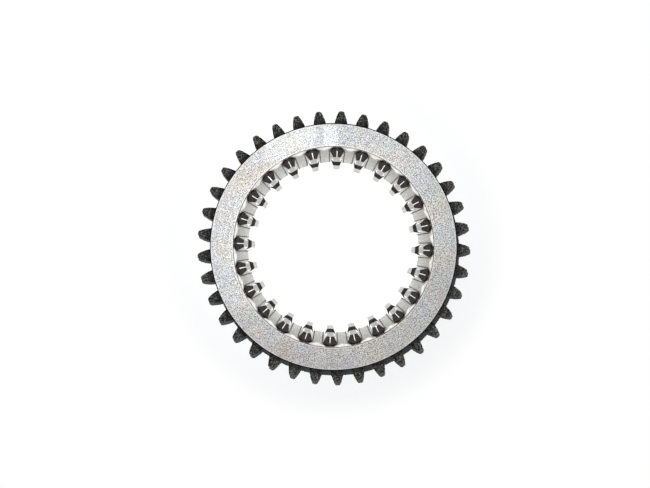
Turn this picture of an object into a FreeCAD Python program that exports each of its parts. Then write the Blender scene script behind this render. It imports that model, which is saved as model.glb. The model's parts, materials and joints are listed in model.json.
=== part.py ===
import FreeCAD, Part
import math
import os

# Sliding reverse gear: a steel sleeve that slides on a splined hub. Millimetres, +Z up.
# The origin is on the bore axis, in the bottom face. The ground flange face is on top.
# A tooth or a gap is drawn about the +X axis and turned to its place round the bore.

# Along the axis, from the bottom face up: gear ring, fork groove, face flange
gear_width = 13.5
fork_groove_width = 6.5
flange_thickness = 4.0

# Outer gear teeth
gear_tooth_count = 37
gear_module = 2.5
gear_pressure_angle = 20.0
gear_addendum_factor = 1.0
gear_dedendum_factor = 1.25
gear_tooth_thinning = 0.3
gear_first_tooth_angle = 8.73
tip_chamfer_height = 0.65
tip_chamfer_width = 0.5
gear_upper_chamfer = 0.8
gear_lower_chamfer = 1.0

# Rounded upper ends of the outer teeth, where the idler gear slides in
tooth_end_drop = 2.0
tooth_end_bulge = 0.35

# Splined bore
spline_count = 24
spline_crest_radius = 30.0
spline_height = 2.65
spline_crest_width = 2.4
spline_flank_angle = 28.5
spline_root_fillet = 0.6
spline_first_tooth_angle = 12.89

# Pointed ends of the inner spline teeth
point_recess = 0.85
point_slope = 27.0
point_land_width = 0.26

# Lead-in at each end of the bore, between the spline teeth
lead_in_width = 0.8
lead_in_angle = 27.0
mouth_edge_break = 0.12

# Turned outside above the gear ring: the wall round the splines, the fork groove and the flange
spline_wall = 4.75
fork_groove_depth = 3.9
flange_edge_break = 0.3

# Detent groove round the middle of the crests
detent_width = 7.4
detent_depth = 1.4
detent_wall_angle = 40.0

# Dent in the edge of the face
dent_angle = 235.6
dent_width = 0.9
dent_depth = 0.5

# Cutting tools reach this far past the surface that they cut
clearance_past = 1.0

sleeve_length = gear_width + fork_groove_width + flange_thickness
flange_bottom = gear_width + fork_groove_width
pitch_radius = gear_module * gear_tooth_count / 2
tip_radius = pitch_radius + gear_addendum_factor * gear_module
gear_root_radius = pitch_radius - gear_dedendum_factor * gear_module
base_radius = pitch_radius * math.cos(math.radians(gear_pressure_angle))
spline_root_radius = spline_crest_radius + spline_height
mouth_radius = spline_root_radius + lead_in_width
lead_in_depth = lead_in_width / math.tan(math.radians(lead_in_angle))
fork_groove_radius = spline_root_radius + spline_wall
flange_radius = fork_groove_radius + fork_groove_depth


def polar(radius, angle, height=0.0):
    """Point at a radius and an angle in radians."""
    return FreeCAD.Vector(radius * math.cos(angle), radius * math.sin(angle), height)


def mirrored(point):
    """The same point on the other side of the X axis."""
    return FreeCAD.Vector(point.x, -point.y, point.z)


def around_axis(shape, count, first_angle):
    """Equal copies of a shape, turned round the bore axis."""
    copies = []
    for index in range(count):
        copy = shape.copy()
        turn = first_angle + 360.0 * index / count
        copy.rotate(FreeCAD.Vector(0, 0, 0), FreeCAD.Vector(0, 0, 1), turn)
        copies.append(copy)
    return copies


def straight_edges(points):
    """Line edges through the points, in order."""
    return [Part.LineSegment(a, b).toShape() for a, b in zip(points, points[1:])]


def revolved(points):
    """Solid of revolution from the corners (radius, height) of its section."""
    corners = [FreeCAD.Vector(radius, 0, height) for radius, height in points]
    face = Part.Face(Part.Wire(straight_edges(corners + corners[:1])))
    return face.revolve(FreeCAD.Vector(0, 0, 0), FreeCAD.Vector(0, 0, 1), 360)


def blank():
    """Turned blank, bored to the root circle of the splines."""
    points = [
        (mouth_radius, 0),
        (tip_radius - gear_lower_chamfer, 0),
        (tip_radius, gear_lower_chamfer),
        (tip_radius, gear_width - gear_upper_chamfer),
        (tip_radius - gear_upper_chamfer, gear_width),
        (fork_groove_radius, gear_width),
        (fork_groove_radius, flange_bottom),
        (flange_radius, flange_bottom),
        (flange_radius, sleeve_length - flange_edge_break),
        (flange_radius - flange_edge_break, sleeve_length),
        (mouth_radius + mouth_edge_break, sleeve_length),
        (mouth_radius, sleeve_length - mouth_edge_break),
        (spline_root_radius, sleeve_length - mouth_edge_break - lead_in_depth),
        (spline_root_radius, lead_in_depth),
    ]
    return revolved(points)


def involute(angle):
    """Involute function of a pressure angle in radians."""
    return math.tan(angle) - angle


def tooth_half_angle(radius):
    """Half the angle that an outer tooth fills at a radius."""
    at_pitch = (math.pi * gear_module / 2 - gear_tooth_thinning) / (2 * pitch_radius)
    here = math.acos(min(1.0, base_radius / radius))
    return at_pitch + involute(math.radians(gear_pressure_angle)) - involute(here)


def gap_half_angle(radius):
    """Half the angle of the gap between two outer teeth at a radius."""
    return math.pi / gear_tooth_count - tooth_half_angle(radius)


def gear_gap():
    """Cutter for one gap: flanks through points of the involute, a rounded root and chamfered tips."""
    flank_top = tip_radius - tip_chamfer_height
    mouth = gap_half_angle(flank_top) + tip_chamfer_width / tip_radius
    radii = [base_radius, (base_radius + flank_top) / 2, flank_top]
    flank = [polar(radius, gap_half_angle(radius)) for radius in radii]
    opposite = [mirrored(point) for point in flank]
    edges = [Part.Arc(*flank).toShape(), Part.Arc(*opposite).toShape()]
    edges.append(Part.Arc(opposite[0], polar(gear_root_radius, 0), flank[0]).toShape())
    tip = polar(tip_radius, mouth)
    outside = polar(tip_radius + clearance_past, mouth)
    edges += straight_edges([flank[-1], tip, outside, mirrored(outside), mirrored(tip), opposite[-1]])
    wire = Part.Wire(Part.__sortEdges__(edges))
    wire.translate(FreeCAD.Vector(0, 0, -clearance_past))
    return Part.Face(wire).extrude(FreeCAD.Vector(0, 0, gear_width + clearance_past))


def tooth_end_cutter():
    """Cutter that leaves one outer tooth with a ridged and rounded upper end."""
    near = base_radius
    half = near * tooth_half_angle(near) + clearance_past / 2
    low = gear_width - tooth_end_drop
    bulge = gear_width - tooth_end_bulge * tooth_end_drop
    high = gear_width + clearance_past
    ridge = FreeCAD.Vector(near, 0, gear_width)
    edges = []
    for side in (-1, 1):
        corner = FreeCAD.Vector(near, side * half, low)
        edges.append(Part.Arc(ridge, FreeCAD.Vector(near, side * half / 2, bulge), corner).toShape())
        edges += straight_edges([corner, FreeCAD.Vector(near, side * half, high)])
    edges += straight_edges([FreeCAD.Vector(near, -half, high), FreeCAD.Vector(near, half, high)])
    wire = Part.Wire(Part.__sortEdges__(edges))
    reach = tip_radius - near + clearance_past
    return Part.Face(wire).extrude(FreeCAD.Vector(reach, 0, 0))


def detent_ring():
    """Ring that cuts the detent groove into the crests."""
    middle = sleeve_length / 2
    run = detent_depth * math.tan(math.radians(90 - detent_wall_angle))
    past = spline_crest_radius - clearance_past
    mouth = detent_width / 2 + clearance_past / math.tan(math.radians(detent_wall_angle))
    floor_radius = spline_crest_radius + detent_depth
    floor = detent_width / 2 - run
    return revolved([
        (past, middle - mouth),
        (floor_radius, middle - floor),
        (floor_radius, middle + floor),
        (past, middle + mouth),
    ])


def spline_tooth():
    """One inner spline tooth with straight flanks, root fillets and pointed ends."""
    slope = math.radians(spline_flank_angle)
    crest_angle = math.asin(spline_crest_width / 2 / spline_crest_radius)
    crest_corner = polar(spline_crest_radius, crest_angle)
    outward = polar(1.0, slope + math.pi / 2)
    centre_radius = spline_root_radius - spline_root_fillet
    offset = spline_root_fillet + crest_corner.dot(outward)
    root_angle = slope + math.asin(offset / centre_radius)
    centre = polar(centre_radius, root_angle)
    start = centre - outward * spline_root_fillet
    end = polar(spline_root_radius, root_angle)
    to_middle = polar(1.0, root_angle) - outward
    middle = centre + to_middle * (spline_root_fillet / to_middle.Length)
    outer = polar(mouth_radius, root_angle)
    crest = Part.Arc(mirrored(crest_corner), polar(spline_crest_radius, 0), crest_corner)
    edges = [crest.toShape(), Part.Arc(start, middle, end).toShape()]
    edges.append(Part.Arc(mirrored(start), mirrored(middle), mirrored(end)).toShape())
    edges += straight_edges([crest_corner, start])
    edges += straight_edges([mirrored(crest_corner), mirrored(start)])
    edges += straight_edges([end, outer, mirrored(outer), mirrored(end)])
    profile = Part.Face(Part.Wire(Part.__sortEdges__(edges)))
    prism = profile.extrude(FreeCAD.Vector(0, 0, sleeve_length))
    return prism.common(pointed_envelope(outer.y)).cut(detent_ring())


def pointed_envelope(half_width):
    """Long block with a roof at both ends, which points a spline tooth."""
    top = sleeve_length - point_recess
    bottom = point_recess
    land = point_land_width / 2
    wide = half_width + clearance_past
    drop = (wide - land) * math.tan(math.radians(point_slope))
    inner = spline_crest_radius - clearance_past
    corners = [
        (-land, top),
        (land, top),
        (wide, top - drop),
        (wide, bottom + drop),
        (land, bottom),
        (-land, bottom),
        (-wide, bottom + drop),
        (-wide, top - drop),
    ]
    points = [FreeCAD.Vector(inner, across, height) for across, height in corners]
    points.append(points[0])
    face = Part.Face(Part.Wire(straight_edges(points)))
    return face.extrude(FreeCAD.Vector(mouth_radius - inner + clearance_past, 0, 0))


def edge_dent():
    """Small dent in the outer edge of the ground face."""
    to_edge = dent_depth * math.sqrt(2)
    length = to_edge + clearance_past
    tool = Part.makeCone(0, dent_width / 2 * length / to_edge, length)
    tool.rotate(FreeCAD.Vector(0, 0, 0), FreeCAD.Vector(0, 1, 0), 45)
    tool.translate(FreeCAD.Vector(flange_radius - dent_depth, 0, sleeve_length - dent_depth))
    tool.rotate(FreeCAD.Vector(0, 0, 0), FreeCAD.Vector(0, 0, 1), dent_angle)
    return tool


def reverse_gear():
    """The finished gear: turned blank, cut teeth, splines and dent."""
    gear = blank()
    half_pitch = 180.0 / gear_tooth_count
    cutters = around_axis(gear_gap(), gear_tooth_count, gear_first_tooth_angle + half_pitch)
    cutters += around_axis(tooth_end_cutter(), gear_tooth_count, gear_first_tooth_angle)
    gear = gear.cut(cutters)
    gear = gear.fuse(around_axis(spline_tooth(), spline_count, spline_first_tooth_angle))
    gear = gear.cut(edge_dent())
    return gear.removeSplitter()


os.makedirs("parts", exist_ok=True)
part = reverse_gear()
if part.ShapeType != "Solid":
    part = part.Solids[0]
part.exportStep("parts/reverse_gear.step")
box = part.BoundBox
print("valid", part.isValid(), "faces", len(part.Faces), "volume", round(part.Volume, 1))
print("box", round(box.XLength, 3), round(box.YLength, 3), round(box.ZLength, 3))
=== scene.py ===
"""Looks of the sliding reverse gear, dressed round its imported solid. Metres, +Z up."""

import json
import logging
import math
from dataclasses import dataclass
from enum import Enum
from typing import Sequence, Union

import bmesh
import bpy
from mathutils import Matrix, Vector

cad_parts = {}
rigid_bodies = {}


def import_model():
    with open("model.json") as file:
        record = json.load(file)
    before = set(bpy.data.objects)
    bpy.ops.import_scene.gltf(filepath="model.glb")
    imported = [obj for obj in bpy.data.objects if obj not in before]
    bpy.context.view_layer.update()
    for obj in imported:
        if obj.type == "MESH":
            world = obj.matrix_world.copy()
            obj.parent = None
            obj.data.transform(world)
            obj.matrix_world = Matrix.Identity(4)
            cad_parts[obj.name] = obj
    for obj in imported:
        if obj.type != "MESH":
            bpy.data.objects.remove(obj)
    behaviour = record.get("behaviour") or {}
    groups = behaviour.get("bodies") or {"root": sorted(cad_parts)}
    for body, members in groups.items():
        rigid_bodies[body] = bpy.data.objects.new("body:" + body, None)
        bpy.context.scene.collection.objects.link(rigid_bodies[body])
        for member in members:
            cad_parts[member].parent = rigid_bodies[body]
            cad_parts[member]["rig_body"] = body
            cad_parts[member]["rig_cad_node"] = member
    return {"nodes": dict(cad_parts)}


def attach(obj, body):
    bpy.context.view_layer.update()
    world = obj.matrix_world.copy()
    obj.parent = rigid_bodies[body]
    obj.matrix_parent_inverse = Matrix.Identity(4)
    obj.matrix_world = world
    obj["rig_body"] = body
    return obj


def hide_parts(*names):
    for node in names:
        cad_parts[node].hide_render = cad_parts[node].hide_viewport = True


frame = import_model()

Colour = tuple[float, float, float]
Span = tuple[float, float]
Socket = bpy.types.NodeSocket
Value = Union[float, Socket]

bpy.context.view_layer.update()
MM = 0.001
SLEEVE_LENGTH = 24.0 * MM
# Painted shade: the ground face and its broken edge are painted dark outside this radius, as a dark
# line along the rim.
RIM_SHADE_RADIUS = 40.87 * MM
RIM_SHADE_COLOUR: Colour = (0.015, 0.014, 0.016)
WHITE: Colour = (1.0, 1.0, 1.0)
log = logging.getLogger("reverse_gear")


class Surface(Enum):
    """The kinds of surface that the gear has, in the order of its material slots."""

    GROUND_FACE = 0
    FACE_EDGE = 1
    MOUTH_EDGE = 2
    LEAD_IN = 3
    ROOT_LAND = 4
    FLANK = 5
    ROOT_FILLET = 6
    CREST = 7
    TOOTH_POINT = 8
    RIDGE = 9
    DETENT = 10
    GEAR_TOOTH = 11
    GEAR_TOOTH_EDGE = 12
    TURNED = 13
    BOTTOM_FACE = 14
    BORE_EDGE = 15


class NodeSketch:
    """Adds and links the nodes of one material or of the world."""

    colour_inputs = (6, 7)
    colour_output = 2
    cloud_roughness = 0.6
    ring_detail = 3.0

    def __init__(self, tree: bpy.types.NodeTree) -> None:
        """Starts from an empty tree.

        Args:
            tree: The node tree that is filled.
        """
        self.tree = tree
        tree.nodes.clear()

    def add(self, kind: str, **settings: object) -> bpy.types.Node:
        """Adds a node.

        Args:
            kind: The node's type name, without the words ShaderNode.
            settings: Properties of the node.

        Returns:
            The new node.
        """
        node = self.tree.nodes.new("ShaderNode" + kind)
        for name, value in settings.items():
            setattr(node, name, value)
        return node

    def feed(self, target: Socket, value: object) -> None:
        """Links a socket to an input, or writes a plain value on it.

        Args:
            target: The input socket.
            value: A socket, a number, a vector or a colour.
        """
        if isinstance(value, bpy.types.NodeSocket):
            self.tree.links.new(value, target)
        elif isinstance(value, tuple) and len(value) == 3 and target.type == "RGBA":
            target.default_value = (*value, 1.0)
        else:
            target.default_value = value

    def math(self, operation: str, first: Value, second: Value = 0.0) -> Socket:
        """One step of arithmetic.

        Args:
            operation: The operation of the Math node.
            first: The first value.
            second: The second value, where the operation has one.

        Returns:
            The result's socket.
        """
        node = self.add("Math", operation=operation)
        self.feed(node.inputs[0], first)
        self.feed(node.inputs[1], second)
        return node.outputs[0]

    def times(self, first: Value, second: Value) -> Socket:
        """The product of two values."""
        return self.math("MULTIPLY", first, second)

    def gap(self, value: Value, centre: float) -> Socket:
        """How far a value is from a centre, on either side of it."""
        return self.math("ABSOLUTE", self.math("SUBTRACT", value, centre))

    def sector(self, vector: Socket, count: int, first: float) -> Socket:
        """Angle from the middle of the nearest tooth of a ring of teeth.

        Args:
            vector: The point.
            count: Number of teeth.
            first: Angle of the first tooth in degrees.

        Returns:
            The angle's socket, in radians.
        """
        parts = self.add("SeparateXYZ")
        self.feed(parts.inputs[0], vector)
        angle = self.math("ARCTAN2", parts.outputs["Y"], parts.outputs["X"])
        half = math.pi / count
        node = self.add("Math", operation="WRAP")
        self.feed(node.inputs[0], self.math("SUBTRACT", angle, math.radians(first)))
        node.inputs[1].default_value = half
        node.inputs[2].default_value = -half
        return node.outputs[0]

    def spread(self, value: Value, span: Span, result: Span = (0.0, 1.0)) -> Socket:
        """Maps a span smoothly to another, and holds it at the ends.

        Args:
            value: The value to map.
            span: Where the value starts and stops to have an effect.
            result: The results at the start and at the end of the span.

        Returns:
            The result's socket.
        """
        node = self.add("MapRange", interpolation_type="SMOOTHSTEP")
        for socket, number in zip(node.inputs[:5], (value, *span, *result)):
            self.feed(socket, number)
        return node.outputs[0]

    def past(self, value: Value, limit: float, blur: float) -> Socket:
        """0 below a limit and 1 above it, blurred a little on both sides."""
        return self.spread(value, (limit - blur, limit + blur))

    def mix(self, share: Value, first: object, second: object, blend: str = "MIX") -> Socket:
        """Mixes two colours.

        Args:
            share: The second colour's share.
            first: The colour where the share is 0.
            second: The colour where the share is 1.
            blend: How the two are blended.

        Returns:
            The mixed colour's socket.
        """
        node = self.add("Mix", data_type="RGBA", blend_type=blend)
        self.feed(node.inputs[0], share)
        for index, colour in zip(self.colour_inputs, (first, second)):
            self.feed(node.inputs[index], colour)
        return node.outputs[self.colour_output]

    def place(self) -> Socket:
        """The point on the piece, in metres."""
        return self.add("TexCoord").outputs["Object"]

    def height(self) -> Socket:
        """Height of the point above the floor, in metres."""
        parts = self.add("SeparateXYZ")
        self.feed(parts.inputs[0], self.place())
        return parts.outputs["Z"]

    def scaled(self, vector: Socket, factors: Sequence[float]) -> Socket:
        """A point with each coordinate scaled, to stretch or flatten a pattern.

        Args:
            vector: The point.
            factors: One factor for each axis.

        Returns:
            The scaled point's socket.
        """
        node = self.add("VectorMath", operation="MULTIPLY")
        self.feed(node.inputs[0], vector)
        node.inputs[1].default_value = tuple(factors)
        return node.outputs[0]

    def radius(self, vector: Socket) -> Socket:
        """Distance from the bore axis.

        Args:
            vector: The point.

        Returns:
            The distance's socket, in metres.
        """
        node = self.add("VectorMath", operation="LENGTH")
        self.feed(node.inputs[0], self.scaled(vector, (1, 1, 0)))
        return node.outputs["Value"]

    def noise(
        self, vector: Socket, grain: float, detail: float = 2.0, colour: bool = False
    ) -> Socket:
        """Cloudy noise.

        Args:
            vector: The point.
            grain: Size of the clouds in metres.
            detail: How many finer layers it has.
            colour: Whether the three channels differ.

        Returns:
            The noise's socket, near 0.5.
        """
        node = self.add("TexNoise", noise_dimensions="3D")
        self.feed(node.inputs["Vector"], vector)
        node.inputs["Scale"].default_value = 1.0 / grain
        node.inputs["Detail"].default_value = detail
        node.inputs["Roughness"].default_value = self.cloud_roughness
        return node.outputs["Color" if colour else "Fac"]

    def rings(self, distance: Socket, grain: float) -> Socket:
        """Fine lines that follow a distance, as a cutting tool leaves them.

        Args:
            distance: The distance that the lines follow.
            grain: Spacing of the lines in metres.

        Returns:
            The lines' socket, near 0.5.
        """
        node = self.add("TexNoise", noise_dimensions="1D")
        self.feed(node.inputs["W"], distance)
        node.inputs["Scale"].default_value = 1.0 / grain
        node.inputs["Detail"].default_value = self.ring_detail
        return node.outputs["Fac"]

    def bump(self, height: Socket, depth: float) -> Socket:
        """A surface normal from a height.

        Args:
            height: The height, from 0 to 1.
            depth: What a height of 1 is in metres.

        Returns:
            The normal's socket.
        """
        node = self.add("Bump")
        node.inputs["Strength"].default_value = 1.0
        node.inputs["Distance"].default_value = depth
        self.feed(node.inputs["Height"], height)
        return node.outputs[0]


@dataclass(frozen=True)
class Finish:
    """A steel surface: its colour, its speckle, its gloss and its film of oil."""

    name: str
    colour: Colour
    speckle_colour: Colour
    speckle_grain: float = 0.9 * MM
    speckle_share: float = 0.5
    speckle_span: Span = (0.5, 0.72)
    roughness: float = 0.25
    roughness_spread: float = 0.08
    gloss_span: Span = (0.3, 0.7)
    relief: float = 0.002 * MM
    edge_tint: float = 1.0
    oil: float = 0.0
    oil_index: float = 1.5
    oil_roughness: float = 0.04

    def place(self, sketch: NodeSketch) -> Socket:
        """The point that the pattern follows."""
        return sketch.place()

    def speckled(self, sketch: NodeSketch, speckle: Socket) -> Socket:
        """How much of the speckle's colour shows."""
        return sketch.spread(speckle, self.speckle_span, (0.0, self.speckle_share))

    def tone(self, sketch: NodeSketch, point: Socket, speckle: Socket) -> Socket:
        """The surface colour.

        Args:
            sketch: The material's nodes.
            point: The point that the pattern follows; not used here.
            speckle: The speckle, near 0.5.

        Returns:
            The colour's socket.
        """
        return sketch.mix(self.speckled(sketch, speckle), self.colour, self.speckle_colour)

    def edge(self, sketch: NodeSketch) -> object:
        """The tint of the surface where it is seen at a low angle.

        Args:
            sketch: The material's nodes; not used here.

        Returns:
            A colour, or a colour's socket.
        """
        return (self.edge_tint, self.edge_tint, self.edge_tint)

    def build(self) -> bpy.types.Material:
        """Makes the material.

        Returns:
            The material.
        """
        material = bpy.data.materials.new(self.name)
        material.use_nodes = True
        sketch = NodeSketch(material.node_tree)
        point = self.place(sketch)
        speckle = sketch.noise(point, self.speckle_grain)
        rough = (self.roughness - self.roughness_spread, self.roughness + self.roughness_spread)
        shader = sketch.add("BsdfPrincipled")
        inputs = {
            "Base Color": self.tone(sketch, point, speckle),
            "Metallic": 1.0,
            "Roughness": sketch.spread(speckle, self.gloss_span, rough),
            "Normal": sketch.bump(speckle, self.relief),
            "Specular Tint": self.edge(sketch),
            "Coat Weight": self.oil,
            "Coat Roughness": self.oil_roughness,
            "Coat IOR": self.oil_index,
        }
        for name, value in inputs.items():
            sketch.feed(shader.inputs[name], value)
        output = sketch.add("OutputMaterial")
        sketch.feed(output.inputs["Surface"], shader.outputs[0])
        material.diffuse_color = (*self.colour, 1.0)
        return material


@dataclass(frozen=True)
class Stain:
    """A tinted place on the ground face, given by its direction from the axis and its reach."""

    angle: float
    radius: float
    reach: float
    colour: Colour
    share: float

    def centre(self) -> tuple[float, float, float]:
        """The middle of the stain on the face."""
        turn = math.radians(self.angle)
        return (self.radius * math.cos(turn), self.radius * math.sin(turn), SLEEVE_LENGTH)


@dataclass(frozen=True)
class GroundFinish(Finish):
    """The flat ground flange face: speckled, stained, streaked, and painted dark along its rim as
    shade.
    """

    speckle_span: Span = (0.41, 0.64)
    stains: tuple[Stain, ...] = ()
    stain_patches: Span = (0.3, 0.6)
    cloud_grain: float = 7.0 * MM
    ring_radius: float = 39.4 * MM
    ring_fade: Span = (1.3 * MM, 0.39 * MM)
    ring_share: float = 0.75
    ring_patches: Span = (0.38, 0.55)
    ring_grain: float = 0.34 * MM
    ring_lines: Span = (0.47, 0.58)
    ring_colour: Colour = (0.34, 0.33, 0.31)
    arc_stretch: float = 7.0 * MM
    arc_grain: float = 0.36 * MM
    arc_lines: Span = (0.45, 0.66)
    arc_share: float = 0.5
    arc_colour: Colour = (0.30, 0.29, 0.27)
    hue_grain: float = 4.0 * MM
    hue_share: float = 0.06
    tint_grain: float = 8.0 * MM
    tint_patches: Span = (0.36, 0.62)
    warm_tint: Colour = (1.0, 0.98, 0.94)
    cool_tint: Colour = (0.94, 0.96, 1.0)
    middle_radius: float = 37.27 * MM
    shine_fade: Span = (3.23 * MM, 3.73 * MM)
    shine_share: float = 0.65
    shine_colour: Colour = (0.74, 0.73, 0.71)
    rim_blur: float = 0.03 * MM

    def stained(self, sketch: NodeSketch, point: Socket, cloud: Socket, tone: Socket) -> Socket:
        """Lays the stains on the face.

        Args:
            sketch: The material's nodes.
            point: The point on the piece.
            cloud: The cloudy noise that breaks the stains up.
            tone: The colour so far.

        Returns:
            The colour's socket.
        """
        patchy = sketch.spread(cloud, self.stain_patches)
        for stain in self.stains:
            far = sketch.add("VectorMath", operation="DISTANCE")
            sketch.feed(far.inputs[0], point)
            far.inputs[1].default_value = stain.centre()
            near = sketch.spread(far.outputs["Value"], (stain.reach, 0.0), (0.0, stain.share))
            tone = sketch.mix(sketch.times(near, patchy), tone, stain.colour, "MULTIPLY")
        return tone

    def lined(self, sketch: NodeSketch, point: Socket, cloud: Socket, tone: Socket) -> Socket:
        """Draws the turning lines near the rim, and the short arcs all over the face.

        Args:
            sketch: The material's nodes.
            point: The point on the piece.
            cloud: The cloudy noise that breaks the lines up.
            tone: The colour so far.

        Returns:
            The colour's socket.
        """
        radius = sketch.radius(point)
        from_ring = sketch.gap(radius, self.ring_radius)
        band = sketch.spread(from_ring, self.ring_fade, (0.0, self.ring_share))
        band = sketch.times(band, sketch.spread(cloud, self.ring_patches))
        line = sketch.spread(sketch.rings(radius, self.ring_grain), self.ring_lines)
        tone = sketch.mix(sketch.times(band, line), tone, self.ring_colour)
        arc = sketch.add("CombineXYZ")
        sketch.feed(arc.inputs["X"], radius)
        sketch.feed(arc.inputs["Y"], sketch.times(sketch.sector(point, 1, 0.0), self.arc_stretch))
        arcs = sketch.noise(arc.outputs[0], self.arc_grain, detail=1.0)
        share = sketch.spread(arcs, self.arc_lines, (0.0, self.arc_share))
        return sketch.mix(share, tone, self.arc_colour)

    def tinted(self, sketch: NodeSketch, point: Socket, tone: Socket) -> Socket:
        """Lets the hue drift a little, and the tint between warm and cool.

        Args:
            sketch: The material's nodes.
            point: The point on the piece.
            tone: The colour so far.

        Returns:
            The colour's socket.
        """
        hue = sketch.noise(point, self.hue_grain, detail=0.0, colour=True)
        tone = sketch.mix(self.hue_share, tone, hue, "OVERLAY")
        cool = sketch.spread(sketch.noise(point, self.tint_grain, detail=0.0), self.tint_patches)
        tint = sketch.mix(cool, self.warm_tint, self.cool_tint)
        return sketch.mix(1.0, tone, tint, "MULTIPLY")

    def edged(self, sketch: NodeSketch, point: Socket, tone: Socket) -> Socket:
        """Lightens both edges of the face, and draws a painted line of shade along its rim.

        Args:
            sketch: The material's nodes.
            point: The point on the piece.
            tone: The colour so far.

        Returns:
            The colour's socket.
        """
        radius = sketch.radius(point)
        from_middle = sketch.gap(radius, self.middle_radius)
        shine = sketch.spread(from_middle, self.shine_fade, (0.0, self.shine_share))
        tone = sketch.mix(shine, tone, self.shine_colour)
        # Painted shade: dark outside the rim radius.
        outside = sketch.past(radius, RIM_SHADE_RADIUS, self.rim_blur)
        return sketch.mix(outside, tone, RIM_SHADE_COLOUR)

    def tone(self, sketch: NodeSketch, point: Socket, speckle: Socket) -> Socket:
        """The face's colour, with its stains, its lines and its edges.

        Args:
            sketch: The material's nodes.
            point: The point on the piece.
            speckle: The speckle, near 0.5.

        Returns:
            The colour's socket.
        """
        cloud = sketch.noise(point, self.cloud_grain, detail=3.0)
        tone = super().tone(sketch, point, speckle)
        tone = self.stained(sketch, point, cloud, tone)
        tone = self.lined(sketch, point, cloud, tone)
        tone = self.tinted(sketch, point, tone)
        return self.edged(sketch, point, tone)


@dataclass(frozen=True)
class RidgeFinish(Finish):
    """The narrow land on a pointed tooth end: bright near the crest and dark beyond."""

    bright_land_colour: Colour = (0.80, 0.78, 0.75)
    bright_land_fade: Span = (32.77 * MM, 32.47 * MM)
    ragged: float = 0.8 * MM

    def tone(self, sketch: NodeSketch, point: Socket, speckle: Socket) -> Socket:
        """The land's colour by its distance from the axis.

        Args:
            sketch: The material's nodes.
            point: The point on the piece.
            speckle: The speckle, near 0.5.

        Returns:
            The colour's socket.
        """
        radius = sketch.math("ADD", sketch.radius(point), sketch.times(speckle, self.ragged))
        return sketch.mix(sketch.spread(radius, self.bright_land_fade), self.colour, self.bright_land_colour)


@dataclass(frozen=True)
class Gable:
    """Where the planes of the pointed tooth ends lie."""

    tooth_count: int = 24
    first_tooth: float = 12.89
    point_recess: float = 0.85 * MM
    point_slope: float = 27.0

    def across(self, sketch: NodeSketch) -> Socket:
        """Distance of the point from the middle plane of its tooth.

        Args:
            sketch: The material's nodes.

        Returns:
            The distance's socket, in metres.
        """
        point = sketch.place()
        turn = sketch.sector(point, self.tooth_count, self.first_tooth)
        signed = sketch.times(sketch.math("SINE", turn), sketch.radius(point))
        return sketch.math("ABSOLUTE", signed)

    def level(self, sketch: NodeSketch) -> Socket:
        """Height above or below the middle of the bore, in metres."""
        return sketch.gap(sketch.height(), SLEEVE_LENGTH / 2)

    def above(self, sketch: NodeSketch, across: Socket) -> Socket:
        """Height of the point above the sloping plane of its tooth's end, at both ends of the bore.

        Args:
            sketch: The material's nodes.
            across: Distance from the tooth's middle plane.

        Returns:
            The height's socket, in metres.
        """
        drop = sketch.times(across, math.tan(math.radians(self.point_slope)))
        raised = sketch.math("ADD", self.level(sketch), drop)
        return sketch.math("SUBTRACT", raised, SLEEVE_LENGTH / 2 - self.point_recess)


@dataclass(frozen=True)
class LeadInFinish(Finish):
    """The bright lead-in cone, with a band of painted shade along each pointed tooth end."""

    gable: Gable = Gable()
    painted_gable_shade_fade: Span = (1.7 * MM, 0.7 * MM)
    painted_gable_shade_and_mouth_colour: Colour = (0.095, 0.080, 0.072)
    narrow_share: float = 0.4
    full_width: float = 1.7 * MM
    ragged: float = 0.2 * MM
    mouth_fade: Span = (11.70 * MM, 11.82 * MM)
    mouth_grain: float = 9.0 * MM
    mouth_patches: Span = (0.42, 0.58)
    mouth_share: Span = (0.25, 1.0)

    def tone(self, sketch: NodeSketch, point: Socket, speckle: Socket) -> Socket:
        """The cone's colour, with painted shade by its height above the tooth's pointed end, and
        dark at the mouth.

        Args:
            sketch: The material's nodes.
            point: The point on the piece.
            speckle: The speckle, near 0.5.

        Returns:
            The colour's socket.
        """
        across = self.gable.across(sketch)
        reach = sketch.spread(across, (0.0, self.full_width), (self.narrow_share, 1.0))
        above = sketch.math("DIVIDE", self.gable.above(sketch, across), reach)
        above = sketch.math("ADD", above, sketch.times(speckle, self.ragged))
        # Painted shade: a dark band just above each pointed tooth end; the same dark colour draws
        # the line at the mouth.
        band = sketch.spread(above, self.painted_gable_shade_fade)
        cloud = sketch.noise(sketch.place(), self.mouth_grain)
        patchy = sketch.spread(cloud, self.mouth_patches, self.mouth_share)
        line = sketch.times(sketch.spread(self.gable.level(sketch), self.mouth_fade), patchy)
        clean = super().tone(sketch, point, speckle)
        return sketch.mix(sketch.math("MAXIMUM", band, line), clean, self.painted_gable_shade_and_mouth_colour)


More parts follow.
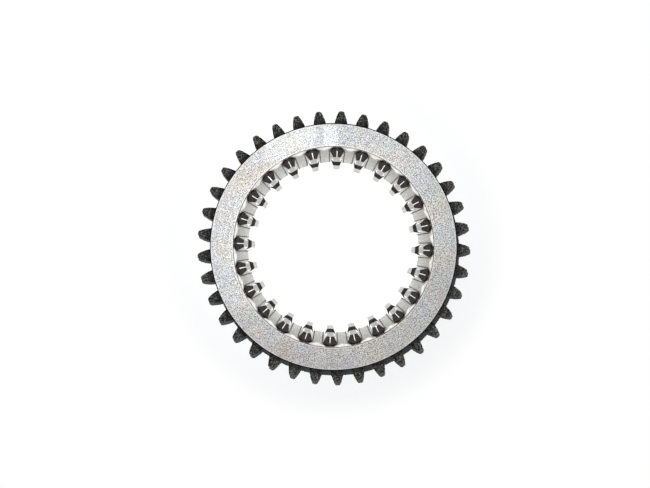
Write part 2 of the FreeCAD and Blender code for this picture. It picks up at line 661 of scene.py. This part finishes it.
@dataclass(frozen=True)
class FilletFinish(Finish):
    """A root fillet painted with shade: a dark line along the flank, darker below the pointed end,
    pale beyond.
    """

    gable: Gable = Gable()
    painted_point_shade_fade: Span = (-1.12 * MM, -0.7 * MM)
    painted_point_shade_colour: Colour = (0.045, 0.037, 0.03)
    line_half_width: float = 2.8 * MM
    line_blur: float = 0.06 * MM
    beyond_colour: Colour = (0.66, 0.66, 0.61)
    beyond_tint: Colour = (0.70, 0.70, 0.69)

    def zoned(self, sketch: NodeSketch, line: object, beyond: object) -> Socket:
        """Gives the fillet's zones their colours, and the painted shade below the pointed end its
        own.

        Args:
            sketch: The material's nodes.
            line: The colour of the dark line of painted shade along the flank.
            beyond: The colour beyond that line.

        Returns:
            The colour's socket.
        """
        # Painted shade: the dark line along the flank, and the darker zone below the pointed end.
        across = self.gable.across(sketch)
        dark = sketch.spread(self.gable.above(sketch, across), self.painted_point_shade_fade)
        past_line = sketch.past(across, self.line_half_width, self.line_blur)
        return sketch.mix(dark, sketch.mix(past_line, line, beyond), self.painted_point_shade_colour)

    def edge(self, sketch: NodeSketch) -> Socket:
        """The fillet's tint at a low angle, with the same painted shade."""
        return self.zoned(sketch, super().edge(sketch), self.beyond_tint)

    def tone(self, sketch: NodeSketch, point: Socket, speckle: Socket) -> Socket:
        """The fillet's colour, with painted shade by its depth below the tooth's pointed end.

        Args:
            sketch: The material's nodes.
            point: The point on the piece.
            speckle: The speckle, near 0.5.

        Returns:
            The colour's socket.
        """
        return self.zoned(sketch, super().tone(sketch, point, speckle), self.beyond_colour)


@dataclass(frozen=True)
class RimFinish(Finish):
    """The broken edge of the ground face: painted dark as shade outside the rim line, and bright
    inside it.
    """

    rim_blur: float = 0.04 * MM

    def tone(self, sketch: NodeSketch, point: Socket, speckle: Socket) -> Socket:
        """The edge's colour by its distance from the axis, with painted shade outside the rim line.

        Args:
            sketch: The material's nodes.
            point: The point on the piece.
            speckle: The speckle, near 0.5.

        Returns:
            The colour's socket.
        """
        bright = super().tone(sketch, point, speckle)
        outside = sketch.past(sketch.radius(point), RIM_SHADE_RADIUS, self.rim_blur)
        return sketch.mix(outside, bright, RIM_SHADE_COLOUR)


@dataclass(frozen=True)
class GearToothFinish(Finish):
    """Dark oiled outer teeth, painted with a highlight along the middle, glints at the top and
    shade at the root.
    """

    speckle_span: Span = (0.5, 0.62)
    tooth_count: int = 37
    first_tooth: float = 8.73
    glint_fade: Span = (10.8 * MM, 11.8 * MM)
    glint_share: Span = (0.12, 1.0)
    painted_highlight_colour: Colour = (0.056, 0.055, 0.050)
    painted_highlight_fade: Span = (1.6 * MM, 0.32 * MM)
    painted_highlight_grain: float = 0.9 * MM
    painted_highlight_patches: Span = (0.42, 0.62)
    painted_root_shade_colour: Colour = (0.010, 0.010, 0.011)
    painted_root_shade_fade: Span = (46.1 * MM, 44.9 * MM)
    painted_root_shade_share: float = 0.7

    def tone(self, sketch: NodeSketch, point: Socket, speckle: Socket) -> Socket:
        """The tooth's colour, with painted glints, a painted highlight along its middle and painted
        shade at its root.

        Args:
            sketch: The material's nodes.
            point: The point on the piece.
            speckle: The speckle, near 0.5.

        Returns:
            The colour's socket.
        """
        # Painted glints: light spots, mostly at the upper end of the tooth.
        glint_zone = sketch.spread(sketch.height(), self.glint_fade, self.glint_share)
        painted_glints = sketch.times(self.speckled(sketch, speckle), glint_zone)
        dark = sketch.mix(painted_glints, self.colour, self.speckle_colour)
        radius = sketch.radius(point)
        turn = sketch.sector(point, self.tooth_count, self.first_tooth)
        across = sketch.math("ABSOLUTE", sketch.times(turn, radius))
        cloud = sketch.noise(point, self.painted_highlight_grain, detail=1.0)
        # Painted highlight: lighter along the middle of each tooth, broken into patches.
        painted_highlight = sketch.times(
            sketch.spread(across, self.painted_highlight_fade), sketch.spread(cloud, self.painted_highlight_patches)
        )
        tone = sketch.mix(painted_highlight, dark, self.painted_highlight_colour, "LIGHTEN")
        # Painted shade: darker at the tooth's root, under the flange.
        painted_root_shade = sketch.spread(radius, self.painted_root_shade_fade, (0.0, self.painted_root_shade_share))
        return sketch.mix(painted_root_shade, tone, self.painted_root_shade_colour)


@dataclass(frozen=True)
class DrawnFinish(Finish):
    """A surface with streaks along one direction, as a broach or a turning tool leaves them."""

    stretch: tuple[float, float, float] = (1.0, 1.0, 0.06)
    painted_top_shade: float = 1.0

    def place(self, sketch: NodeSketch) -> Socket:
        """The point, drawn out along the streaks."""
        return sketch.scaled(sketch.place(), self.stretch)

    def tone(self, sketch: NodeSketch, point: Socket, speckle: Socket) -> Socket:
        """The surface colour, with painted shade darker towards the top.

        Args:
            sketch: The material's nodes.
            point: The drawn-out point.
            speckle: The speckle, near 0.5.

        Returns:
            The colour's socket.
        """
        colour = super().tone(sketch, point, speckle)
        if self.painted_top_shade == 1.0:
            return colour
        # Painted shade: darker towards the top of the bore.
        share = sketch.spread(sketch.height(), (0.0, SLEEVE_LENGTH))
        shade = (self.painted_top_shade, self.painted_top_shade, self.painted_top_shade)
        return sketch.mix(share, colour, shade, "MULTIPLY")


DARK_POINT: Colour = (0.046, 0.044, 0.042)

STAINS = (
    Stain(132, 39.4 * MM, 9.0 * MM, (1.0, 0.86, 0.74), 0.8),
    Stain(146, 39.8 * MM, 7.0 * MM, (1.0, 0.86, 0.74), 0.6),
    Stain(134, 35.2 * MM, 12.0 * MM, (1.0, 0.90, 0.78), 1.0),
    Stain(70, 38.5 * MM, 9.0 * MM, (1.0, 0.89, 0.80), 0.6),
    Stain(246, 39.6 * MM, 8.0 * MM, (0.95, 0.80, 0.66), 0.8),
    Stain(300, 39.4 * MM, 10.0 * MM, (0.96, 0.88, 0.78), 0.6),
    Stain(180, 38.0 * MM, 8.0 * MM, (0.97, 0.91, 0.86), 0.6),
    Stain(40, 37.6 * MM, 11.0 * MM, (0.86, 0.90, 1.0), 0.7),
    Stain(340, 37.0 * MM, 11.0 * MM, (0.84, 0.88, 0.98), 0.7),
    Stain(266, 36.4 * MM, 11.0 * MM, (0.84, 0.89, 1.0), 0.8),
    Stain(226, 36.6 * MM, 10.0 * MM, (0.86, 0.90, 1.0), 0.7),
)

FINISHES: dict[Surface, Finish] = {
    Surface.GROUND_FACE: GroundFinish(
        "ground_face_steel", (0.69, 0.685, 0.665), (0.045, 0.043, 0.038), 0.315 * MM,
        speckle_share=1.0, roughness=0.3, roughness_spread=0.04, edge_tint=0.85,
        oil=1.0, oil_index=1.85, stains=STAINS,
    ),
    # The broken edge's dark rim colour and its low edge tint are painted shade.
    Surface.FACE_EDGE: RimFinish(
        "face_edge_steel", (0.74, 0.73, 0.71), (0.40, 0.39, 0.37), 0.5 * MM, edge_tint=0.1
    ),
    Surface.MOUTH_EDGE: Finish(
        "mouth_edge_steel", (0.07, 0.045, 0.035), (0.36, 0.30, 0.25), 2.0 * MM
    ),
    Surface.LEAD_IN: LeadInFinish(
        "lead_in_steel", (0.88, 0.86, 0.82), (0.66, 0.61, 0.55), 1.6 * MM, roughness=0.16
    ),
    # The spline roots and crests get painted shade towards the top.
    Surface.ROOT_LAND: DrawnFinish(
        "broached_root_steel", (0.58, 0.58, 0.54), (0.38, 0.38, 0.35), 0.3 * MM,
        edge_tint=0.74, painted_top_shade=0.6,
    ),
    Surface.FLANK: DrawnFinish(
        "broached_flank_steel", (0.90, 0.895, 0.87), (0.72, 0.71, 0.69), 0.35 * MM,
        roughness=0.1, roughness_spread=0.03,
    ),
    # Painted shade: the fillet's dark colour and low edge tint stand for shade in the root corner.
    Surface.ROOT_FILLET: FilletFinish(
        "root_fillet_painted_shade_steel", (0.22, 0.215, 0.19), (0.15, 0.145, 0.13), 0.35 * MM, edge_tint=0.23
    ),
    Surface.CREST: DrawnFinish(
        "crest_steel", (0.54, 0.54, 0.53), (0.42, 0.42, 0.41), 0.35 * MM,
        edge_tint=0.80, painted_top_shade=0.65,
    ),
    Surface.TOOTH_POINT: Finish(
        "tooth_point_steel", DARK_POINT, (0.11, 0.095, 0.08), 0.6 * MM, roughness=0.33
    ),
    Surface.RIDGE: RidgeFinish(
        "tooth_ridge_steel", DARK_POINT, DARK_POINT, 0.5 * MM, roughness=0.2
    ),
    Surface.DETENT: Finish(
        "detent_groove_steel", (0.060, 0.058, 0.060), (0.10, 0.095, 0.09), 0.6 * MM, roughness=0.35
    ),
    # The light speckle of the outer teeth is painted glints at their upper end.
    Surface.GEAR_TOOTH: GearToothFinish(
        "oiled_tooth_steel", (0.015, 0.015, 0.014), (0.22, 0.215, 0.20), 0.55 * MM,
        speckle_share=0.75, roughness=0.32, roughness_spread=0.10, relief=0.005 * MM,
    ),
    Surface.GEAR_TOOTH_EDGE: Finish(
        "tooth_edge_steel", (0.018, 0.018, 0.017), (0.17, 0.165, 0.15), 0.8 * MM, roughness=0.28
    ),
    Surface.TURNED: DrawnFinish(
        "turned_steel", (0.055, 0.053, 0.052), (0.12, 0.115, 0.11), 0.25 * MM,
        stretch=(0.05, 0.05, 1.0),
    ),
    Surface.BOTTOM_FACE: Finish(
        "bottom_face_steel", (0.50, 0.49, 0.48), (0.30, 0.29, 0.28), 1.2 * MM, speckle_share=0.8
    ),
    Surface.BORE_EDGE: Finish(
        "bore_edge_steel", (0.62, 0.60, 0.57), (0.40, 0.38, 0.36), 1.5 * MM
    ),
}


@dataclass
class GearBody:
    """The gear as one piece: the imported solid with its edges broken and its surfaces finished.

    A face counts as level, flat, pointed or conical where the vertical part of its unit normal
    is more than the slope of that name. It is a crest or a root, and no flank, where the part
    towards the axis is at least the facing.
    """

    name: str = "gear_body"
    gear_width: float = 13.5 * MM
    gear_floor_radius: float = 36.0 * MM
    flange_radius: float = 41.3 * MM
    mouth_radius: float = 33.45 * MM
    root_radius: float = 32.65 * MM
    crest_radius: float = 30.0 * MM
    fillet_height: float = 0.6 * MM
    crest_gap: float = 1.0 * MM
    detent_least: float = 0.5 * MM
    rim_height: float = 0.6 * MM
    rim_width: float = 1.0 * MM
    mouth_width: float = 0.5 * MM
    ring_margin: float = 0.2 * MM
    margin: float = 0.1 * MM
    slack: float = 0.02 * MM
    level_slope: float = 0.99
    flat_slope: float = 0.9
    point_slope: float = 0.8
    cone_slope: float = 0.3
    facing: float = 0.8
    dent_angle: float = 235.6
    dent_half_angle: float = 2.2
    dent_size: float = 1.5 * MM
    weld_distance: float = 0.002 * MM
    flat_angle: float = 0.3
    sharp_angle: float = 20.0
    smooth_angle: float = 50.0
    face_weight: int = 100
    edge_width: float = 0.08 * MM
    edge_segments: int = 2

    def copy_solid(self) -> bpy.types.Object:
        """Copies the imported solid, joins its triangles and clears the lines across flat faces.

        Returns:
            The new piece.
        """
        bpy.ops.object.select_all(action="DESELECT")
        piece = frame["nodes"]["reverse_gear"].copy()
        piece.data = piece.data.copy()
        piece.name = self.name
        piece.data.name = self.name
        piece.parent = None
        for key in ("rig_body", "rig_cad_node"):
            if key in piece:
                del piece[key]
        bpy.context.scene.collection.objects.link(piece)
        piece.select_set(True)
        bpy.context.view_layer.objects.active = piece
        bpy.ops.object.mode_set(mode="EDIT")
        bpy.ops.mesh.select_all(action="SELECT")
        bpy.ops.mesh.remove_doubles(threshold=self.weld_distance)
        bpy.ops.mesh.customdata_custom_splitnormals_clear()
        bpy.ops.mesh.dissolve_limited(angle_limit=math.radians(self.flat_angle))
        bpy.ops.object.mode_set(mode="OBJECT")
        return piece

    def stays_sharp(self, edge: bmesh.types.BMEdge) -> bool:
        """Whether an edge gets no break: at the dent, on a tooth's ridge, at the mouth or hollow.

        Args:
            edge: The edge.

        Returns:
            True where the edge stays sharp.
        """
        middle = (edge.verts[0].co + edge.verts[1].co) / 2
        radius = middle.xy.length
        from_top = SLEEVE_LENGTH - middle.z
        turn = math.degrees(math.atan2(middle.y, middle.x)) % 360.0
        in_dent = (
            abs(turn - self.dent_angle) < self.dent_half_angle
            and from_top < self.dent_size
            and radius > self.flange_radius - self.dent_size
        )
        facing_up = all(face.normal.z > self.point_slope for face in edge.link_faces)
        on_ridge = facing_up and radius < self.mouth_radius
        on_mouth = from_top < self.ring_margin and radius < self.mouth_radius + self.ring_margin
        return in_dent or on_ridge or on_mouth or not edge.is_convex

    def break_edges(self, piece: bpy.types.Object) -> None:
        """Gives the sharp edges a small real break, apart from those that stay sharp.

        Args:
            piece: The gear.
        """
        mesh = bmesh.new()
        mesh.from_mesh(piece.data)
        weight = mesh.edges.layers.float.new("bevel_weight_edge")
        for edge in mesh.edges:
            if edge.calc_face_angle(0.0) < math.radians(self.sharp_angle):
                continue
            if self.stays_sharp(edge):
                edge.smooth = False
            else:
                edge[weight] = 1.0
        mesh.to_mesh(piece.data)
        mesh.free()
        bevel = piece.modifiers.new("edge_break", "BEVEL")
        bevel.limit_method = "WEIGHT"
        bevel.width = self.edge_width
        bevel.segments = self.edge_segments
        bevel.use_clamp_overlap = False
        bevel.material = Surface.BORE_EDGE.value
        bpy.ops.object.modifier_apply(modifier=bevel.name)

    def surface_at(self, point: Vector, radius: float, normal: Vector) -> Surface:
        """Names the surface that a flat part of the gear belongs to.

        Args:
            point: The middle of the face.
            radius: Mean distance of its corners from the axis.
            normal: Its direction.

        Returns:
            The kind of surface.
        """
        if normal.z < -self.flat_slope and point.z < self.slack:
            return Surface.BOTTOM_FACE
        at_top = point.z > SLEEVE_LENGTH - self.margin and normal.z < self.flat_slope
        if at_top and radius < self.mouth_radius + self.margin:
            return Surface.MOUTH_EDGE
        if radius > self.mouth_radius + self.slack:
            return self.outside_surface(radius, point.z, normal)
        return self.bore_surface(point, radius, normal)

    def bore_surface(self, point: Vector, radius: float, normal: Vector) -> Surface:
        """Names the surface inside the bore.

        Args:
            point: The middle of the face.
            radius: Mean distance of its corners from the axis.
            normal: Its direction.

        Returns:
            The kind of surface.
        """
        slope = abs(normal.z)
        if slope > self.level_slope:
            return Surface.RIDGE
        if slope > self.point_slope:
            return Surface.TOOTH_POINT
        if slope > self.cone_slope:
            on_cone = radius > self.root_radius - self.slack
            return Surface.LEAD_IN if on_cone else Surface.DETENT
        inwards = -normal.xy.dot(point.xy.normalized())
        if inwards < self.facing and radius < self.root_radius - self.fillet_height:
            return Surface.FLANK
        if radius < self.root_radius - self.crest_gap:
            in_detent = radius > self.crest_radius + self.detent_least
            return Surface.DETENT if in_detent else Surface.CREST
        if radius > self.root_radius - self.slack:
            return Surface.ROOT_LAND
        return Surface.ROOT_FILLET

    def outside_surface(self, radius: float, height: float, normal: Vector) -> Surface:
        """Names the surface outside the bore's mouth.

        Args:
            radius: The face's distance from the axis.
            height: Its height.
            normal: Its direction.

        Returns:
            The kind of surface.
        """
        if height > SLEEVE_LENGTH - self.slack and normal.z > self.level_slope:
            return Surface.GROUND_FACE
        if height > SLEEVE_LENGTH - self.rim_height:
            return Surface.FACE_EDGE
        on_gear = height < self.gear_width - self.margin
        if on_gear or radius > self.flange_radius + self.ring_margin:
            return Surface.GEAR_TOOTH
        return Surface.TURNED

    def edge_at(self, point: Vector, radius: float) -> Surface:
        """Names the finish of a broken edge by its place.

        Args:
            point: The middle of the small face.
            radius: Mean distance of its corners from the axis.

        Returns:
            The kind of surface.
        """
        at_top = point.z > SLEEVE_LENGTH - self.rim_height
        if at_top and radius > self.flange_radius - self.rim_width:
            return Surface.FACE_EDGE
        on_gear = point.z < self.gear_width + self.margin and radius > self.gear_floor_radius
        if on_gear or radius > self.flange_radius + self.ring_margin:
            return Surface.GEAR_TOOTH_EDGE
        if radius > self.mouth_radius + self.mouth_width:
            return Surface.TURNED
        if radius > self.mouth_radius - self.margin:
            return Surface.MOUTH_EDGE
        return Surface.BORE_EDGE

    def sort_faces(self, piece: bpy.types.Object, edges: bool) -> None:
        """Gives every face the slot of its surface.

        Args:
            piece: The gear.
            edges: Whether only the broken edges are sorted.
        """
        corners = piece.data.vertices
        for face in piece.data.polygons:
            lengths = [corners[index].co.xy.length for index in face.vertices]
            radius = sum(lengths) / len(lengths)
            if not edges:
                face.material_index = self.surface_at(face.center, radius, face.normal).value
            elif face.material_index == Surface.BORE_EDGE.value:
                face.material_index = self.edge_at(face.center, radius).value

    def dress(self, piece: bpy.types.Object) -> None:
        """Fills the material slots, in the order of the surfaces.

        Args:
            piece: The gear.
        """
        piece.data.materials.clear()
        for surface in Surface:
            piece.data.materials.append(FINISHES[surface].build())

    def shade(self, piece: bpy.types.Object) -> None:
        """Shades the small edge breaks round, and keeps the flat faces flat.

        Args:
            piece: The gear.
        """
        smooth_angle = math.radians(self.smooth_angle)
        bpy.ops.object.shade_smooth_by_angle(angle=smooth_angle, keep_sharp_edges=True)
        weighted = piece.modifiers.new("flat_faces_first", "WEIGHTED_NORMAL")
        weighted.keep_sharp = True
        weighted.weight = self.face_weight
        bpy.ops.object.modifier_apply(modifier=weighted.name)

    def build(self) -> bpy.types.Object:
        """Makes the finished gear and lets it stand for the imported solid.

        Returns:
            The gear.
        """
        piece = self.copy_solid()
        self.dress(piece)
        self.sort_faces(piece, edges=False)
        self.break_edges(piece)
        self.sort_faces(piece, edges=True)
        self.shade(piece)
        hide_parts("reverse_gear")
        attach(piece, "root")
        return piece


@dataclass(frozen=True)
class Panel:
    """A level lamp panel above the gear: its middle and its size in metres, and its glow."""

    name: str
    across: float
    along: float
    width: float
    depth: float
    glow: float


@dataclass
class Studio:
    """The pale floor, the white surroundings, the lamps and the camera above the gear."""

    camera_place: tuple[float, float, float] = (-1.005 * MM, -0.676 * MM, 172.0 * MM)
    lens: float = 24.63
    sensor_width: float = 36.0
    shift: tuple[float, float] = (-0.00857, 0.00757)
    clip: Span = (5.0 * MM, 50.0)
    floor_size: float = 6.0
    floor_height: float = -0.05 * MM
    floor_colour: Colour = (0.95, 0.95, 0.95)
    floor_fade: Span = (54.0 * MM, 68.0 * MM)
    fill_colour: Colour = (0.88, 0.92, 1.0)
    fill_strength: float = 0.034
    flash_power: float = 1.25
    glint_power: float = 0.10
    flash_offset: float = 12.5 * MM
    flash_angle: float = 111.0
    panels: tuple[Panel, ...] = (
        Panel("window_right", -1.5 * MM, 163.7 * MM, 20.0 * MM, 31.0 * MM, 3.2),
        Panel("window_middle", -41.5 * MM, 166.0 * MM, 36.0 * MM, 37.0 * MM, 2.5),
        Panel("window_left", -80.0 * MM, 147.0 * MM, 38.0 * MM, 36.0 * MM, 2.1),
        Panel("soft_sky", -137.0 * MM, 88.0 * MM, 236.0 * MM, 350.0 * MM, 0.77),
        Panel("soft_right", 78.0 * MM, 150.0 * MM, 116.0 * MM, 120.0 * MM, 0.62),
        Panel("soft_wide", 10.0 * MM, 120.0 * MM, 520.0 * MM, 260.0 * MM, 0.25),
    )
    panel_height: float = 524.0 * MM
    panel_colour: Colour = (0.87, 0.92, 1.0)

    def white_rays(self, sketch: NodeSketch) -> Socket:
        """1 for what the camera sees, directly or in metal and glass.

        Args:
            sketch: The nodes that use it.

        Returns:
            The share's socket.
        """
        path = sketch.add("LightPath")
        seen = sketch.math("ADD", path.outputs["Is Camera Ray"], path.outputs["Is Glossy Ray"])
        seen = sketch.math("ADD", seen, path.outputs["Is Transmission Ray"])
        return sketch.math("MINIMUM", seen, 1.0)

    def blend(
        self, sketch: NodeSketch, output: str, share: Value, first: Socket, second: Socket
    ) -> None:
        """Mixes two shaders and sends them to the output.

        Args:
            sketch: The nodes.
            output: The kind of the output node.
            share: The second shader's share.
            first: The first shader.
            second: The second shader.
        """
        choice = sketch.add("MixShader")
        for socket, value in zip(choice.inputs, (share, first, second)):
            sketch.feed(socket, value)
        sketch.feed(sketch.add(output).inputs["Surface"], choice.outputs[0])

    def build_world(self) -> None:
        """Makes the surroundings: white where they are seen, and a low fill light."""
        world = bpy.data.worlds.new("studio_surroundings")
        world.use_nodes = True
        bpy.context.scene.world = world
        sketch = NodeSketch(world.node_tree)
        fill = sketch.add("Background")
        sketch.feed(fill.inputs["Color"], self.fill_colour)
        sketch.feed(fill.inputs["Strength"], self.fill_strength)
        white = sketch.add("Background")
        sketch.feed(white.inputs["Color"], WHITE)
        seen = self.white_rays(sketch)
        self.blend(sketch, "OutputWorld", seen, fill.outputs[0], white.outputs[0])

    def build_floor(self) -> None:
        """Makes the floor, which keeps the gear's shadow and is plain white further out."""
        bpy.ops.object.select_all(action="DESELECT")
        bpy.ops.mesh.primitive_plane_add(size=self.floor_size, location=(0, 0, self.floor_height))
        floor = bpy.context.object
        floor.name = "studio_floor"
        material = bpy.data.materials.new("studio_floor_white")
        material.use_nodes = True
        sketch = NodeSketch(material.node_tree)
        matt = sketch.add("BsdfDiffuse")
        sketch.feed(matt.inputs["Color"], self.floor_colour)
        white = sketch.add("Emission")
        sketch.feed(white.inputs["Color"], WHITE)
        far = sketch.spread(sketch.radius(sketch.place()), self.floor_fade)
        share = sketch.times(far, self.white_rays(sketch))
        self.blend(sketch, "OutputMaterial", share, matt.outputs[0], white.outputs[0])
        floor.data.materials.append(material)

    def build_flash(self) -> None:
        """Makes the small lamp beside the camera: full light on matt surfaces, little on metal."""
        turn = math.radians(self.flash_angle)
        aside = Vector((math.cos(turn), math.sin(turn), 0.0)) * self.flash_offset
        place = Vector(self.camera_place) + aside
        for name, power in (("flash", self.flash_power), ("flash_glint", self.glint_power)):
            bpy.ops.object.light_add(type="POINT", location=place)
            lamp = bpy.context.object
            lamp.name = name
            lamp.data.energy = power
            lamp.visible_glossy = name != "flash"
            lamp.visible_diffuse = name == "flash"

    def build_panels(self) -> None:
        """Makes the window panes that the ground face reflects, and the soft light round them."""
        for panel in self.panels:
            place = (panel.across, panel.along, self.panel_height)
            bpy.ops.object.light_add(type="AREA", location=place)
            lamp = bpy.context.object
            lamp.name = panel.name
            lamp.data.shape = "RECTANGLE"
            lamp.data.size = panel.width
            lamp.data.size_y = panel.depth
            lamp.data.energy = panel.glow * math.pi * panel.width * panel.depth
            lamp.data.color = self.panel_colour

    def build_camera(self) -> None:
        """Makes the camera, which looks straight down."""
        bpy.ops.object.camera_add(location=self.camera_place, rotation=(0.0, 0.0, 0.0))
        camera = bpy.context.object
        camera.name = "view_camera"
        camera.data.sensor_width = self.sensor_width
        camera.data.lens = self.lens
        camera.data.shift_x, camera.data.shift_y = self.shift
        camera.data.clip_start, camera.data.clip_end = self.clip
        bpy.context.scene.camera = camera

    def build(self) -> None:
        """Makes everything that isn't part of the gear."""
        self.build_world()
        self.build_floor()
        self.build_flash()
        self.build_panels()
        self.build_camera()
        bpy.context.scene.view_settings.view_transform = "Standard"


def main() -> None:
    """Builds the gear and the studio, and reports each piece."""
    logging.basicConfig(level=logging.INFO, format="%(name)s: %(message)s")
    gear = GearBody().build()
    log.info("%s: %d faces", gear.name, len(gear.data.polygons))
    Studio().build()
    log.info("studio: floor, surroundings, lamps and camera")


if __name__ == "__main__":
    main()
